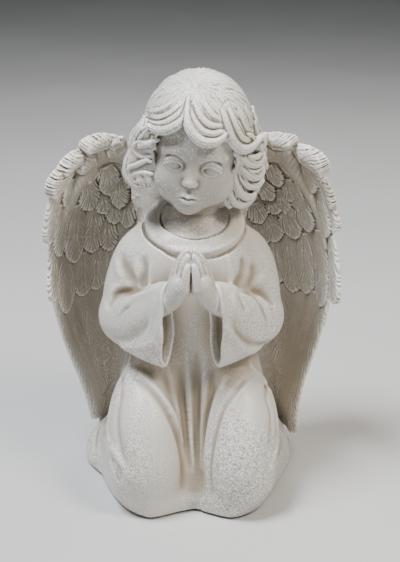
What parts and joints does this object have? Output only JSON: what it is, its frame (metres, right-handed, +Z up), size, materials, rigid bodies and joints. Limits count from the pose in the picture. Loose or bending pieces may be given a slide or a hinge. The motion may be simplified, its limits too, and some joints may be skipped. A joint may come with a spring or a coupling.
{
  "type": "kneeling praying angel figurine",
  "caption": "Kneeling child angel figurine in a long robe with bell sleeves, hands joined in prayer and two folded feathered wings, standing on its flat felted base.",
  "frame": {"origin": "on the underside of the felt, under the middle of the torso, where the figure stands on a shelf", "axes": "+Z up, -Y the way the figure looks, +X to its left hand (the right of someone facing it)"},
  "size_m": [0.2106, 0.1676, 0.2994],
  "materials": {
    "resin": "cast resin, painted pearl ivory with a brown antique wash in the hollows, satin with fine sparkle",
    "steel_pins": "plain steel wire",
    "board": "raw fibreboard",
    "felt": "dark green felt"
  },
  "bodies": {
    "root": {"body_casting": "resin", "head_casting": "resin", "praying_hands": "resin", "wing_left": "resin", "wing_right": "resin", "neck_pin": "steel_pins", "wrist_pins": "steel_pins", "wing_pins": "steel_pins", "base_board": "board", "base_felt": "felt"}
  },
  "joints": []
}
